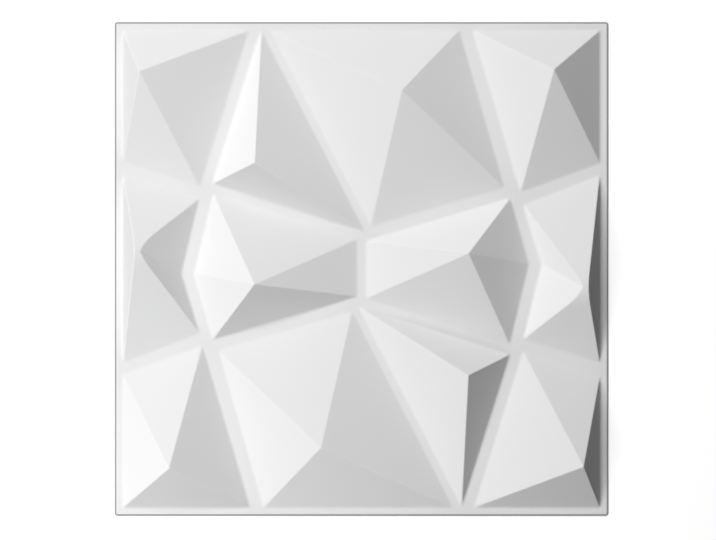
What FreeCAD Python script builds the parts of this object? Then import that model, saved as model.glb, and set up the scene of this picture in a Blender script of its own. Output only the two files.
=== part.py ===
import FreeCAD
import Part
import os

# Square wall panel, vacuum-formed from one sheet of rigid PVC.
# Faceted peaks stand on a lattice of flat grooves, inside a narrow flat border.
# Given half a turn, the layout falls on itself, so half of the peaks are drawn and the rest are
# those same ones turned. That also makes the grooves of neighbouring panels meet at the joints.
# The sheet keeps one thickness along Z, so its walls thin on the slopes as a stretched sheet does,
# and every peak is hollow behind. The back of the grooves and border is flat and takes the glue.
# Frame: origin at the centre of the back, +Z out of the face, +Y towards the top. Millimetres.

panel_side = 500.0
sheet = 1.2                     # thickness of the sheet, measured along Z
border = 8.5                    # flat margin between the outline and the relief
outline_radius = 3.0            # rounded corners of the outline

# Heights of the peaks over the grooves
left_corner_height = 28.0
right_corner_height = 32.0
wedge_height = 28.5
wide_height = 28.0
centre_height = 32.0
side_height = 28.5              # to the point where its facets would meet, above its rounded crest
side_crest_radius = 50.0        # radius over which its upper and lower facets run into each other

relief = panel_side / 2 - border


def from_left(inset):
    """X of a point this far inside the left edge of the relief."""
    return inset - relief


def from_right(inset):
    """X of a point this far inside the right edge of the relief."""
    return relief - inset


def from_top(inset):
    """Y of a point this far below the top edge of the relief."""
    return relief - inset


left = from_left(0.0)
right = from_right(0.0)
top = from_top(0.0)

# Foot of each peak, clockwise from its upper left corner, and the plan of its tip.
# Corners that meet at one crossing of grooves are all placed from the same edge or centre line.
left_corner_foot = [(left, top), (from_left(127.5), top), (from_left(78.0), 83.0), (left, 109.0)]
left_corner_tip = (from_left(19.0), from_top(43.5))

wedge_foot = [(from_left(140.0), top), (3.5, 37.5), (from_left(91.0), 86.5)]
wedge_tip = (from_left(134.5), 106.5)

wide_foot = [(from_left(149.0), top), (from_right(142.5), top), (from_right(97.0), 82.5), (9.5, 43.0)]
wide_tip = (40.5, from_top(62.5))

right_corner_foot = [(from_right(129.0), top), (right, top), (right, 107.0), (from_right(80.5), 77.5)]
right_corner_tip = (from_right(49.0), from_top(42.0))

side_foot = [(left, 95.0), (from_left(77.5), 71.0), (from_left(59.0), -5.0), (from_left(77.5), -65.0),
             (left, -95.0)]
side_tip = (from_left(15.0), 20.5)

centre_foot = [(from_left(91.5), 76.5), (-4.5, 30.0), (-4.5, -28.0), (from_left(91.0), -71.5),
               (from_left(72.0), -5.0)]
centre_tip = (from_left(134.5), -15.5)


def at_height(point, z):
    """The point of a plan at height z."""
    return FreeCAD.Vector(point[0], point[1], z)


def polygon(points):
    """Flat face through the points."""
    return Part.Face(Part.makePolygon(points + points[:1]))


def solid_of(faces):
    """Closed solid bounded by the faces."""
    solid = Part.Solid(Part.makeShell(faces))
    if solid.Volume < 0:
        solid.reverse()
    return solid


def sharp_peak(foot, tip, height):
    """Pyramid with one facet on each side of its foot."""
    low = [at_height(corner, 0.0) for corner in foot]
    apex = at_height(tip, height)
    facets = [polygon([low[i - 1], low[i], apex]) for i in range(len(low))]
    return solid_of([polygon(low)] + facets)


def crested_peak(foot, tip, height, radius):
    """Pyramid under a roof that goes on from its first and fourth facets and rounds the crest between them.
    The roof cuts the tip off, and leaves the other facets with sharp ends at the crest."""
    low = [at_height(corner, 0.0) for corner in foot]
    apex = at_height(tip, height)
    upper = (apex - low[0]).cross(low[1] - low[0]).normalize()
    lower = (apex - low[3]).cross(low[4] - low[3]).normalize()
    along = upper.cross(lower).normalize()
    start = apex - along * panel_side
    gable = [start, start + upper.cross(along) * panel_side, start + along.cross(lower) * panel_side]
    roof = polygon(gable).extrude(along * (2 * panel_side))
    crest = [edge for edge in roof.Edges if edge.CenterOfMass.isEqual(apex, 0.001)]
    return sharp_peak(foot, tip, height).common(roof.makeFillet(radius, crest))


def half_turn(shape):
    """A copy given half a turn about the panel's centre."""
    turned = shape.copy()
    turned.rotate(FreeCAD.Vector(0, 0, 0), FreeCAD.Vector(0, 0, 1), 180)
    return turned


def relief_peaks():
    """Every peak of the panel, with its foot at z = 0."""
    drawn = [
        sharp_peak(left_corner_foot, left_corner_tip, left_corner_height),
        sharp_peak(wedge_foot, wedge_tip, wedge_height),
        sharp_peak(wide_foot, wide_tip, wide_height),
        sharp_peak(right_corner_foot, right_corner_tip, right_corner_height),
        crested_peak(side_foot, side_tip, side_height, side_crest_radius),
        sharp_peak(centre_foot, centre_tip, centre_height),
    ]
    return drawn + [half_turn(peak) for peak in drawn]


def flat_sheet():
    """The sheet before forming: a square plate with rounded corners."""
    plate = Part.makeBox(panel_side, panel_side, sheet, FreeCAD.Vector(-panel_side / 2, -panel_side / 2, 0))
    upright = [edge for edge in plate.Edges if edge.BoundBox.ZLength > sheet / 2]
    return plate.makeFillet(outline_radius, upright)


def wall_panel():
    """The sheet with each peak pushed up out of it: raised on the face, hollow behind."""
    peaks = relief_peaks()
    raised = [peak.translated(FreeCAD.Vector(0, 0, sheet)) for peak in peaks]
    return flat_sheet().multiFuse(raised).cut(peaks).removeSplitter()


os.makedirs("parts", exist_ok=True)
wall_panel().exportStep("parts/wall_panel.step")
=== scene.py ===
import math

import bpy
import numpy as np
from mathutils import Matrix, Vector, geometry


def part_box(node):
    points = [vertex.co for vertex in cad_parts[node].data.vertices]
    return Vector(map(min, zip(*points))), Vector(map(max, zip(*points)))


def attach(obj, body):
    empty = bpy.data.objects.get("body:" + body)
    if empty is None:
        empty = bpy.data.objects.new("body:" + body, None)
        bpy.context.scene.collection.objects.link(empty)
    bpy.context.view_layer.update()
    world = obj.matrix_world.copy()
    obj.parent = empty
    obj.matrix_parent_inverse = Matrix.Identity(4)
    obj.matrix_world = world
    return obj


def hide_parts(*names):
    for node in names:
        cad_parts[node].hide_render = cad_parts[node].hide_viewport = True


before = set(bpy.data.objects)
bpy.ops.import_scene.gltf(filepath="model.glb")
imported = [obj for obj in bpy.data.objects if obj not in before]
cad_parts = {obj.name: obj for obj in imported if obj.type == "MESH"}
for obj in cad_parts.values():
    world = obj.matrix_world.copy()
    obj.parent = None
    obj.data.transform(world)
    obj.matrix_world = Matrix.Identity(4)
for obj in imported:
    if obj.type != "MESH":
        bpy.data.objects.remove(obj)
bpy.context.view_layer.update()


# The panel is one sheet of rigid white PVC, heated and drawn by vacuum over a faceted mould, then trimmed
# square. It is hollow behind each peak. A drawn sheet can't follow a crease sharper than itself, so its
# ridges come out slightly rounded and the feet of its peaks more so.

RIDGE_SOFTNESS = 0.0009     # how far from a ridge the rounding reaches
FOOT_SOFTNESS = 0.0022      # the same at the foot of a peak
FOOT_RISE = 0.0025          # height over the grooves where a foot's rounding has turned into a ridge's
FOOT_MARGIN = 1.02          # the rings that follow a foot's rounding reach this many times as far as it does
CORNER_SWING = 0.0025       # how far from a corner of the foot the outward direction swings round
TRIM_ROUND = 0.0011         # the trimming blade draws the front edge down by this much
EDGE_SHADE_WIDTH = 0.0016         # how far in from the outline the rim is painted grey as shade
EDGE_SHADE_FADE = 0.0005          # over which that painted shade fades into the white face
SAME_LEVEL = 1e-5           # heights that differ by less are one height
HAIR = 1e-9                 # slack for points that lie on a crease

CLOUD_DARK = (0.79, 0.791, 0.792, 1)
CLOUD_LIGHT = (0.81, 0.811, 0.811, 1)
CLOUD_SCALE = 9             # clouds to the metre
GRAIN_SCALE = 1900          # grains to the metre
GRAIN_DEPTH = 0.00004
# painted shade: the dark grey laid on the rim, in place of the line of shade along the panel's edge
EDGE_SHADE_GREY = (0.36, 0.36, 0.37, 1)

panel_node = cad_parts["wall_panel"]
panel_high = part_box("wall_panel")[1]


def triangles_of(node):
    """Corners of every triangle of a node, as an array of triangle, corner and axis."""
    mesh = node.data
    mesh.calc_loop_triangles()
    places = np.empty(3 * len(mesh.vertices), np.float32)
    corners = np.empty(3 * len(mesh.loop_triangles), np.int32)
    mesh.vertices.foreach_get("co", places)
    mesh.loop_triangles.foreach_get("vertices", corners)
    return places.astype(float).reshape(-1, 3)[corners].reshape(-1, 3, 3)


def outline_from_frame(triangles):
    """Thickness of the sheet and radius of the outline's corners: how high the solid stands on its right
    edge, and how far short of the corner that edge stops."""
    corners = triangles.reshape(-1, 3)
    edge = corners[corners[:, 0] > panel_high.x - SAME_LEVEL]
    return edge[:, 2].max(), panel_high.y - edge[:, 1].max()


def facets_from_frame(triangles, level):
    """The facets' feet: triangles that face up from an edge lying at the level of the grooves.
    Returns the edges' starts and ends in plan, and each facet's slope as its gradient in x and y."""
    flat = np.abs(triangles[:, :, 2] - level) < SAME_LEVEL
    normal = np.cross(triangles[:, 1] - triangles[:, 0], triangles[:, 2] - triangles[:, 0])
    rising = triangles[:, :, 2].max(1) > level + SAME_LEVEL
    facing = (flat.sum(1) == 2) & rising & (normal[:, 2] > 0)
    feet, up = triangles[facing], normal[facing]
    row = np.arange(len(feet))
    raised = flat[facing].argmin(1)
    starts = feet[row, (raised + 1) % 3, :2]
    ends = feet[row, (raised + 2) % 3, :2]
    return starts, ends, -up[:, :2] / up[:, 2:]


def peaks_from_frame(triangles, level):
    """One entry for each peak: its foot, counter-clockwise, the plan of its tip and the height over the
    grooves at which its facets would meet. The facets on either side of its steepest one are its two roofs.
    Where the panel's top, within the peak's own height of the tip, stays below their meeting, its crest is
    rounded. The crest's measure is how far apart in height the two roofs lie where the rounding starts: a
    parabola that passes a and b below them starts where they lie (root a + root b) squared apart."""
    starts, ends, slopes = facets_from_frame(triangles, level)
    after = np.linalg.norm(starts[None] - ends[:, None], axis=2).argmin(1)
    corners = triangles.reshape(-1, 3) - [0, 0, level]
    left = set(range(len(starts)))
    peaks = []
    while left:
        ring = [min(left)]
        while after[ring[-1]] != ring[0]:
            ring.append(after[ring[-1]])
        left -= set(ring)
        planes = np.column_stack([slopes[ring], -np.ones(len(ring))])
        tip = np.linalg.lstsq(planes, (slopes[ring] * starts[ring]).sum(1), rcond=None)[0]
        steepest = np.linalg.norm(slopes[ring], axis=1).argmax()
        roof = [ring[steepest - 1], ring[(steepest + 1) % len(ring)]]
        near = corners[np.linalg.norm(corners[:, :2] - tip[:2], axis=1) < tip[2]]
        top = near[near[:, 2].argmax()]
        below = ((top[:2] - starts[roof]) * slopes[roof]).sum(1) - top[2]
        peaks.append({"foot": starts[ring], "tip": tip[:2], "height": tip[2],
                      "roof_feet": starts[roof], "roof_slopes": slopes[roof],
                      "crest": np.sqrt(np.maximum(below, 0)).sum() ** 2})
    return peaks


def graded(length, first=0.0004, growth=1.6, reach=0.46, most=40):
    """Places along a length, close together at both ends and wider apart towards the middle: from either end
    the steps grow by the same factor, up to a share of the length that is called reach."""
    steps = first * (growth ** np.arange(most) - 1) / (growth - 1)
    steps = steps[steps < reach * length]
    return np.concatenate([steps, length - steps[:0:-1]])


def walk_round(foot, tip):
    """A walk along the foot, with a place for each ray that leaves the tip. Returns the places, the outward
    directions, which swing evenly from one side to the next round a corner, and the sides' distances from the
    tip, of which a corner takes the harmonic mean."""
    ahead = np.roll(foot, -1, 0) - foot
    lengths = np.linalg.norm(ahead, axis=1)
    ahead /= lengths[:, None]
    outward = np.column_stack([ahead[:, 1], -ahead[:, 0]])
    depth = ((foot - tip) * outward).sum(1)
    places, directions, depths = [], [], []
    for side, length in enumerate(lengths):
        along = graded(length)
        before, behind = outward[side - 1], outward[(side + 1) % len(foot)]
        start = np.clip(0.5 - 0.5 * along / CORNER_SWING, 0, 1)[:, None]
        end = np.clip(0.5 - 0.5 * (length - along) / CORNER_SWING, 0, 1)[:, None]
        lean = outward[side] * (1 - start - end) + before * start + behind * end
        places.append(foot[side] + ahead[side] * along[:, None])
        directions.append(lean / np.linalg.norm(lean, axis=1)[:, None])
        mean = 2 / (1 / depth[side] + 1 / depth[side - 1])
        depths.append(np.where(along == 0, mean, depth[side]))
    return np.concatenate(places), np.concatenate(directions), np.concatenate(depths)


def roof_rise(points, peak):
    """Height and slope of a peak's two roofs with their crest rounded: the mean of the two, weighted by a
    share that runs evenly from one to the other across the crest, less the crest's measure times the product
    of both shares."""
    slopes = peak["roof_slopes"]
    rises = ((points[..., None, :] - peak["roof_feet"]) * slopes).sum(-1)
    first, second = rises[..., 0], rises[..., 1]
    share = np.clip(0.5 + 0.5 * (second - first) / peak["crest"], 0, 1)
    slope = share[..., None] * slopes[0] + (1 - share[..., None]) * slopes[1]
    return share * first + (1 - share) * second - peak["crest"] * share * (1 - share), slope


def mould_rise(points, peak):
    """Height and slope of the mould, whose creases are sharp, at points in plan: on the facet that a point
    lies in, the height falls evenly from the tip to nothing at the foot, and on below it outside. A rounded
    crest cuts it."""
    foot, tip = peak["foot"], peak["tip"]
    height = np.full(points.shape[:-1], -np.inf)
    slope = np.zeros(points.shape)
    for start, end in zip(foot, np.roll(foot, -1, 0)):
        share = np.linalg.inv(np.column_stack([start - tip, end - tip]))
        s, t = np.moveaxis((points - tip) @ share.T, -1, 0)
        here = (s >= -HAIR) & (t >= -HAIR)
        height = np.where(here, peak["height"] * (1 - s - t), height)
        slope = np.where(here[..., None], -peak["height"] * share.sum(0), slope)
    if peak["crest"] > SAME_LEVEL:
        roof, roof_slope = roof_rise(points, peak)
        slope = np.where((roof < height)[..., None], roof_slope, slope)
        height = np.minimum(roof, height)
    return height, slope


def smooth_step(x):
    """0 below 0, 1 above 1, and an even S between."""
    x = np.clip(x, 0, 1)
    return x * x * (3 - 2 * x)


def drawn_rise(points, peak, samples=72):
    """Height and slope of the drawn sheet: the mean of the mould's over a small disc round each point, which
    is as wide as the sheet's softness there. The disc's sample points lie on a sunflower spiral, each turned
    on from the last by the golden angle."""
    golden_angle = math.pi * (3 - math.sqrt(5))
    turn = np.arange(samples) * golden_angle
    radius = np.sqrt((np.arange(samples) + 0.5) / samples)
    disc = np.column_stack([radius * np.cos(turn), radius * np.sin(turn)])
    by_the_foot = smooth_step(1 - mould_rise(points, peak)[0] / FOOT_RISE)
    softness = RIDGE_SOFTNESS + (FOOT_SOFTNESS - RIDGE_SOFTNESS) * by_the_foot
    height, slope = mould_rise(points[..., None, :] + softness[..., None, None] * disc, peak)
    return np.maximum(height, 0).mean(-1), np.where((height > 0)[..., None], slope, 0).mean(-2)


def peak_surface(peak, level, first=0.004, growth=1.34, growing=19, foot_steps=5):
    """A peak as rings round its tip, each a walk along the foot drawn in towards the tip: first by shares of
    the way out that grow by the same factor, then by even steps across the foot's rounding, and on over the
    groove as far as that reaches. Returns places and normals as arrays of ring, ray and axis. The first ring
    is the tip itself."""
    place, outward, depth = walk_round(peak["foot"], peak["tip"])
    spread = FOOT_MARGIN * FOOT_SOFTNESS
    shares = np.concatenate([[0], first * growth ** np.arange(growing), [1]])
    inner = shares[:, None] * (1 - spread / depth)
    foot = 1 - spread * np.linspace(1, 0, foot_steps + 1)[1:, None] / depth
    drawn = peak["tip"] + np.concatenate([inner, foot])[..., None] * (place - peak["tip"])
    over = place + spread * np.linspace(0, 1, foot_steps + 1)[1:, None, None] * outward
    plan = np.concatenate([drawn, over])
    rise, slope = drawn_rise(plan, peak)
    normal = np.concatenate([-slope, np.ones(rise.shape + (1,))], -1)
    normal /= np.linalg.norm(normal, axis=-1, keepdims=True)
    return np.concatenate([plan, level + rise[..., None]], -1), normal


def ring_quads(rings, rays, first):
    """Quads between neighbouring rings of a grid that closes on itself, numbered from first."""
    ring, ray = np.meshgrid(np.arange(rings - 1), np.arange(rays), indexing="ij")
    beside = (ray + 1) % rays
    return first + np.stack([ring * rays + ray, (ring + 1) * rays + ray, (ring + 1) * rays + beside,
                             ring * rays + beside], -1).reshape(-1, 4)


def tip_fan(rays, tip):
    """Triangles from the tip to the ring that is numbered next after it."""
    ring = tip + 1 + np.arange(rays)
    return np.column_stack([np.full(rays, tip), ring, np.roll(ring, -1)])


def outline_walk(half, radius, arc_places=10, side_steps=60):
    """The square outline with rounded corners, counter-clockwise: a quarter arc and a straight side, four
    times over. Returns places and outward directions in plan."""
    places, directions = [], []
    for quarter in range(4):
        angle = np.linspace(0, math.pi / 2, arc_places) + quarter * math.pi / 2
        arc = np.column_stack([np.cos(angle), np.sin(angle)])
        corner = (half - radius) * np.array([[1, 1], [-1, 1], [-1, -1], [1, -1]])[quarter]
        reach = 2 * (half - radius) * np.linspace(0, 1, side_steps + 1)[1:-1, None]
        side = np.array([[-math.sin(angle[-1]), math.cos(angle[-1])]])
        end = corner + radius * arc[-1]
        places += [corner + radius * arc, end + reach * side]
        directions += [arc, np.repeat(arc[-1:], side_steps - 1, 0)]
    return np.concatenate(places), np.concatenate(directions)


def trimmed_rim(half, radius, level, arc_places=5):
    """The trimmed edge as a profile carried round the outline: along the front face, over the drawn edge by a
    quarter circle, down the cut, and back under. Returns rings of places and of normals."""
    quarter = np.linspace(0, math.pi / 2, arc_places)
    place, outward = outline_walk(half, radius)
    front = [EDGE_SHADE_WIDTH + EDGE_SHADE_FADE, EDGE_SHADE_WIDTH]
    setback = np.concatenate([front, TRIM_ROUND * (1 - np.sin(quarter)), [0, front[0]]])
    height = np.concatenate([[level, level], level - TRIM_ROUND * (1 - np.cos(quarter)), [0, 0]])
    lean = np.concatenate([[0, 0], np.sin(quarter), [1, 0]])
    lift = np.concatenate([[1, 1], np.cos(quarter), [0, -1]])
    plan = place - setback[:, None, None] * outward
    column = plan.shape[:2] + (1,)
    heights = np.broadcast_to(height[:, None, None], column)
    lifts = np.broadcast_to(lift[:, None, None], column)
    normals = np.concatenate([lean[:, None, None] * outward, lifts], -1)
    return np.concatenate([plan, heights], -1), normals


def flat_triangles(rings, outline):
    """Triangles of the flat between the peaks' outer rings and the outline, by Delaunay's rule, numbered
    through the outline's points and then the rings'. Those inside a ring belong to its loop too, and are left
    out."""
    loops = [outline] + rings
    ends = np.cumsum([0] + [len(loop) for loop in loops])
    faces = [list(range(a, b)) for a, b in zip(ends[:-1], ends[1:])]
    points = [Vector(p) for p in np.concatenate(loops)]
    only_inside = 1
    made = geometry.delaunay_2d_cdt(points, [], faces, only_inside, HAIR, True)
    _, _, triangles, point_sources, _, face_sources = made
    number = np.array([source[0] for source in point_sources])
    on_the_flat = np.array([list(source) == [0] for source in face_sources])
    return number[np.array(triangles)[on_the_flat]]


def sheet_front(peaks, level, edge_places):
    """The front of the sheet: the peaks' surfaces one after another, and the flat between them and its edge.
    Returns places, normals, triangles, quads and the numbers of the edge's places, which come last."""
    places, normals, triangles, quads, borders = [], [], [], [], []
    count = 0
    for peak in peaks:
        place, normal = peak_surface(peak, level)
        rings, rays = place.shape[:2]
        places += [place[0, :1], place[1:].reshape(-1, 3)]
        normals += [normal[0, :1], normal[1:].reshape(-1, 3)]
        triangles.append(tip_fan(rays, count))
        quads.append(ring_quads(rings - 1, rays, count + 1))
        count += 1 + (rings - 1) * rays
        borders.append(np.arange(count - rays, count))
    edge = count + np.arange(len(edge_places))
    places = np.concatenate(places + [edge_places])
    normals = np.concatenate(normals + [np.broadcast_to([0, 0, 1], edge_places.shape)])
    flat = flat_triangles([places[border, :2] for border in borders], edge_places[:, :2])
    triangles.append(np.concatenate([edge] + borders)[flat])
    return places, normals, np.concatenate(triangles), np.concatenate(quads), edge


def formed_panel(peaks, level, half, radius):
    """Mesh of the whole sheet, closed: its front, the same again lowered by the thickness of the sheet and
    turned over, and the rim between the two. It marks the rim's places, where shade is painted on as grey."""
    rim, rim_normals = trimmed_rim(half, radius, level)
    front, front_normals, triangles, quads, edge = sheet_front(peaks, level, rim[0])
    count, rays = len(front), len(edge)
    triangles = np.concatenate([triangles, triangles[:, ::-1] + count])
    quads = np.concatenate([quads, quads[:, ::-1] + count])

    between = 2 * count + np.arange(rim[1:-1, :, 0].size).reshape(-1, rays)
    loops = np.concatenate([edge[None], between, edge[None] + count])
    strips = ring_quads(len(loops), rays, 0)
    under = strips[:, 0] >= (len(loops) - 2) * rays
    strip_normals = np.where(under[:, None, None], [0, 0, -1], rim_normals.reshape(-1, 3)[strips])

    places = np.concatenate([front, front - [0, 0, level], rim[1:-1].reshape(-1, 3)])
    normals = np.concatenate([front_normals, -front_normals])
    corner_normals = [normals[triangles], normals[quads], strip_normals]
    # marks the rim's places, where the shade along the edge is painted on as grey
    edge_shade = np.zeros(len(places), np.float32)
    edge_shade[between] = 1

    mesh = bpy.data.meshes.new("formed_panel")
    faces = triangles.tolist() + quads.tolist() + loops.reshape(-1)[strips].tolist()
    mesh.from_pydata(places, [], faces)
    mesh.shade_smooth()
    mesh.normals_split_custom_set(np.concatenate([corners.reshape(-1, 3) for corners in corner_normals]))
    mesh.attributes.new("edge_shade", "FLOAT", "POINT").data.foreach_set("value", edge_shade)
    return mesh


def white_pvc():
    """Matte white PVC: a neutral white with a faint cloudiness from the heating, the fine grain of the film
    on its face as bump and as uneven roughness, and painted shade: grey on the rim along the edge."""
    material = bpy.data.materials.new("white_pvc")
    material.use_nodes = True
    nodes, links = material.node_tree.nodes, material.node_tree.links
    shader = nodes["Principled BSDF"]
    shader.inputs["Specular IOR Level"].default_value = 0.12
    place = nodes.new("ShaderNodeTexCoord").outputs["Object"]

    cloud = nodes.new("ShaderNodeTexNoise")
    cloud.inputs["Scale"].default_value = CLOUD_SCALE
    cloud.inputs["Detail"].default_value = 3
    links.new(place, cloud.inputs["Vector"])
    tone = nodes.new("ShaderNodeMix")
    tone.data_type = "RGBA"
    tone.inputs["A"].default_value = CLOUD_DARK
    tone.inputs["B"].default_value = CLOUD_LIGHT
    links.new(cloud.outputs["Fac"], tone.inputs["Factor"])

    # painted shade: the rim's places turn grey, standing in for the line of shade along the panel's edge
    edge_shade = nodes.new("ShaderNodeAttribute")
    edge_shade.attribute_name = "edge_shade"
    edge = nodes.new("ShaderNodeMix")
    edge.data_type = "RGBA"
    edge.inputs["B"].default_value = EDGE_SHADE_GREY
    links.new(edge_shade.outputs["Fac"], edge.inputs["Factor"])
    links.new(tone.outputs["Result"], edge.inputs["A"])
    links.new(edge.outputs["Result"], shader.inputs["Base Color"])

    grain = nodes.new("ShaderNodeTexNoise")
    grain.inputs["Scale"].default_value = GRAIN_SCALE
    grain.inputs["Detail"].default_value = 2
    links.new(place, grain.inputs["Vector"])
    rough = nodes.new("ShaderNodeMapRange")
    rough.inputs["To Min"].default_value = 0.62
    rough.inputs["To Max"].default_value = 0.76
    links.new(grain.outputs["Fac"], rough.inputs["Value"])
    links.new(rough.outputs["Result"], shader.inputs["Roughness"])
    bump = nodes.new("ShaderNodeBump")
    bump.inputs["Strength"].default_value = 0.25
    bump.inputs["Distance"].default_value = GRAIN_DEPTH
    links.new(grain.outputs["Fac"], bump.inputs["Height"])
    links.new(bump.outputs["Normal"], shader.inputs["Normal"])
    return material


panel_triangles = triangles_of(panel_node)
sheet, outline_radius = outline_from_frame(panel_triangles)
panel_peaks = peaks_from_frame(panel_triangles, sheet)
panel_mesh = formed_panel(panel_peaks, sheet, panel_high.x, outline_radius)
panel_mesh.materials.append(white_pvc())
panel = bpy.data.objects.new("formed_panel", panel_mesh)
bpy.context.scene.collection.objects.link(panel)
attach(panel, "root")
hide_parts("wall_panel")


# The floor is a plain white sweep that the panel lies on, wider than any view of it.
# It shows white to the camera and to what mirrors it, and takes the panel's shadow.

FLOOR_HALF = 4.0
FLOOR_DROP = 0.0001         # keeps the floor clear of the panel's back
FLOOR_TONE = 0.3            # share of the light that the floor throws back on to the panel
SEEN_TONE = 0.72            # the same where it is seen as background
SEEN_GLOW = 0.5             # light of its own that brings it to white there


def seen_as_background(nodes, links):
    """1 for a ray from the camera, off a mirror or through glass, and 0 for the light that surfaces
    scatter."""
    path = nodes.new("ShaderNodeLightPath")
    seen = path.outputs["Is Camera Ray"]
    for kind in ["Is Glossy Ray", "Is Transmission Ray"]:
        either = nodes.new("ShaderNodeMath")
        either.operation = "ADD"
        either.use_clamp = True
        links.new(seen, either.inputs[0])
        links.new(path.outputs[kind], either.inputs[1])
        seen = either.outputs["Value"]
    return seen


def white_floor():
    """Pale grey that shows as white, with a little light of its own, where it is seen as background."""
    material = bpy.data.materials.new("white_floor")
    material.use_nodes = True
    nodes, links = material.node_tree.nodes, material.node_tree.links
    nodes.remove(nodes["Principled BSDF"])
    seen = seen_as_background(nodes, links)
    tone = nodes.new("ShaderNodeMapRange")
    tone.inputs["To Min"].default_value = FLOOR_TONE
    tone.inputs["To Max"].default_value = SEEN_TONE
    links.new(seen, tone.inputs["Value"])
    diffuse = nodes.new("ShaderNodeBsdfDiffuse")
    links.new(tone.outputs["Result"], diffuse.inputs["Color"])
    glow = nodes.new("ShaderNodeEmission")
    lift = nodes.new("ShaderNodeMath")
    lift.operation = "MULTIPLY"
    lift.inputs[1].default_value = SEEN_GLOW
    links.new(seen, lift.inputs[0])
    links.new(lift.outputs["Value"], glow.inputs["Strength"])
    both = nodes.new("ShaderNodeAddShader")
    links.new(diffuse.outputs["BSDF"], both.inputs[0])
    links.new(glow.outputs["Emission"], both.inputs[1])
    links.new(both.outputs["Shader"], nodes["Material Output"].inputs["Surface"])
    return material


floor_mesh = bpy.data.meshes.new("floor")
floor_square = np.array([[-1, -1, 0], [1, -1, 0], [1, 1, 0], [-1, 1, 0]])
floor_mesh.from_pydata(FLOOR_HALF * floor_square - [0, 0, FLOOR_DROP], [], [(0, 1, 2, 3)])
floor_mesh.materials.append(white_floor())
floor = bpy.data.objects.new("floor", floor_mesh)
bpy.context.scene.collection.objects.link(floor)


# The camera hangs straight over the panel, with the panel's top edge towards the top of the picture.
# It is far enough off for the peaks not to lean.

CAMERA_HEIGHT = 2.5
PICTURE_WIDTH = 0.7250      # what the picture's width takes in at the level of the floor
PICTURE_CENTRE = (-0.0035, -0.0011)

camera_data = bpy.data.cameras.new("camera")
camera_data.sensor_width = 36
camera_data.lens = camera_data.sensor_width * CAMERA_HEIGHT / PICTURE_WIDTH
camera = bpy.data.objects.new("camera", camera_data)
camera.location = (*PICTURE_CENTRE, CAMERA_HEIGHT)
bpy.context.scene.collection.objects.link(camera)
bpy.context.scene.camera = camera


# Two wide soft boxes light the panel, one from beyond its top edge and one, nearer, from its lower left. Both
# look at its middle from low enough to bring the facets out. What little comes from the room is the world's.

LAMP_SIZE = (0.73, 0.27)    # for each metre of a lamp's distance
ROOM_LIGHT = 0.004          # strength of the world where it isn't seen as background
ROOM_WHITE = 1.0            # and where it is


def soft_box(name, azimuth, elevation, distance, power):
    """A wide lamp that looks at the origin from this elevation and this azimuth, which runs counter-clockwise
    from +X."""
    azimuth, elevation = math.radians(azimuth), math.radians(elevation)
    data = bpy.data.lights.new(name, "AREA")
    data.shape = "RECTANGLE"
    data.size, data.size_y = distance * LAMP_SIZE[0], distance * LAMP_SIZE[1]
    data.energy = power
    lamp = bpy.data.objects.new(name, data)
    lamp.location = distance * Vector((math.cos(azimuth) * math.cos(elevation),
                                       math.sin(azimuth) * math.cos(elevation), math.sin(elevation)))
    lamp.rotation_mode = "QUATERNION"
    lamp.rotation_quaternion = lamp.location.to_track_quat("Z", "Y")
    bpy.context.scene.collection.objects.link(lamp)


soft_box("upper_soft_box", azimuth=110, elevation=41, distance=2.5, power=58.5)
soft_box("lower_soft_box", azimuth=226, elevation=35, distance=1.4, power=12.1)

world = bpy.data.worlds.new("studio")
world.use_nodes = True
world_nodes, world_links = world.node_tree.nodes, world.node_tree.links
room = world_nodes.new("ShaderNodeMapRange")
room.inputs["To Min"].default_value = ROOM_LIGHT
room.inputs["To Max"].default_value = ROOM_WHITE
background = world_nodes["Background"]
background.inputs["Color"].default_value = (1, 1, 1, 1)
world_links.new(seen_as_background(world_nodes, world_links), room.inputs["Value"])
world_links.new(room.outputs["Result"], background.inputs["Strength"])
bpy.context.scene.world = world
bpy.context.scene.view_settings.view_transform = "Standard"
